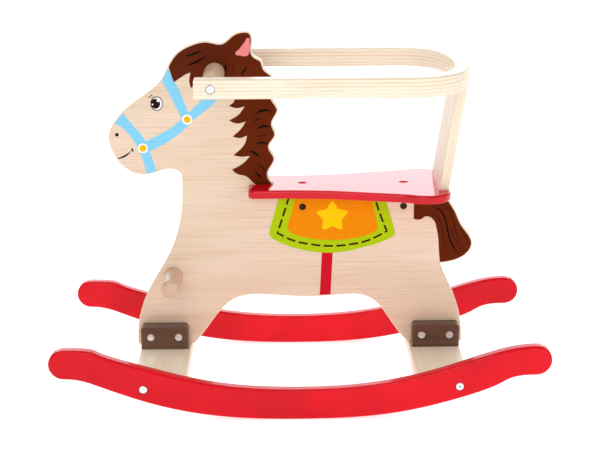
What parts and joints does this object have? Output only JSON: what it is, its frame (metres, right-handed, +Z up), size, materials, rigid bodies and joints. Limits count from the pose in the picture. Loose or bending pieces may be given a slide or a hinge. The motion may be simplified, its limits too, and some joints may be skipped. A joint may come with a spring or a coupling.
{
  "type": "toddler rocking horse",
  "caption": "Wooden toddler rocking horse with a cut-out body panel, curved rockers, seat board, D-shaped safety ring, hand bar and foot bar.",
  "frame": {"origin": "on the floor, midway between the rocker tips and between the rockers, under the lowest line of the rockers", "axes": "+X runs from the head to the tail, +Y to the horse's right, +Z up; the head is at -X"},
  "size_m": [0.6758, 0.3, 0.506],
  "materials": {
    "panel_plywood": "clear satin varnish on pale plywood",
    "board_plywood": "clear satin varnish on pale plywood",
    "ring_plywood": "satin varnish, plies showing on the edges",
    "turned_wood": "satin varnish on turned hardwood",
    "red_lacquer": "glossy red lacquer on plywood",
    "brown_stain": "satin dark brown paint",
    "zinc_steel": "bright zinc plate",
    "dark_steel": "dark steel, recessed",
    "printed_ink": "satin ink printed on the body panel: brown hair, blue halter, green and orange blanket, yellow star, red girth"
  },
  "bodies": {
    "root": {"body_panel": "panel_plywood", "seat_board": "red_lacquer", "safety_ring": "ring_plywood", "ring_post": "ring_plywood", "handle_dowel": "turned_wood", "footrest_dowel": "turned_wood", "left_rocker": "red_lacquer", "right_rocker": "red_lacquer", "front_cross_board": "board_plywood", "rear_cross_board": "board_plywood", "front_left_leg_block": "brown_stain", "front_right_leg_block": "brown_stain", "rear_left_leg_block": "brown_stain", "rear_right_leg_block": "brown_stain", "rocker_bolts": "zinc_steel", "rocker_barrel_nuts": "zinc_steel", "rocker_pins": "turned_wood", "cross_board_screws": "zinc_steel", "leg_bolts": "zinc_steel", "leg_sleeve_nuts": "zinc_steel", "seat_bolts": "zinc_steel", "seat_barrel_nuts": "dark_steel", "arm_bolts": "zinc_steel", "arm_inserts": "zinc_steel", "post_pins": "turned_wood", "post_screws": "zinc_steel"}
  },
  "joints": []
}
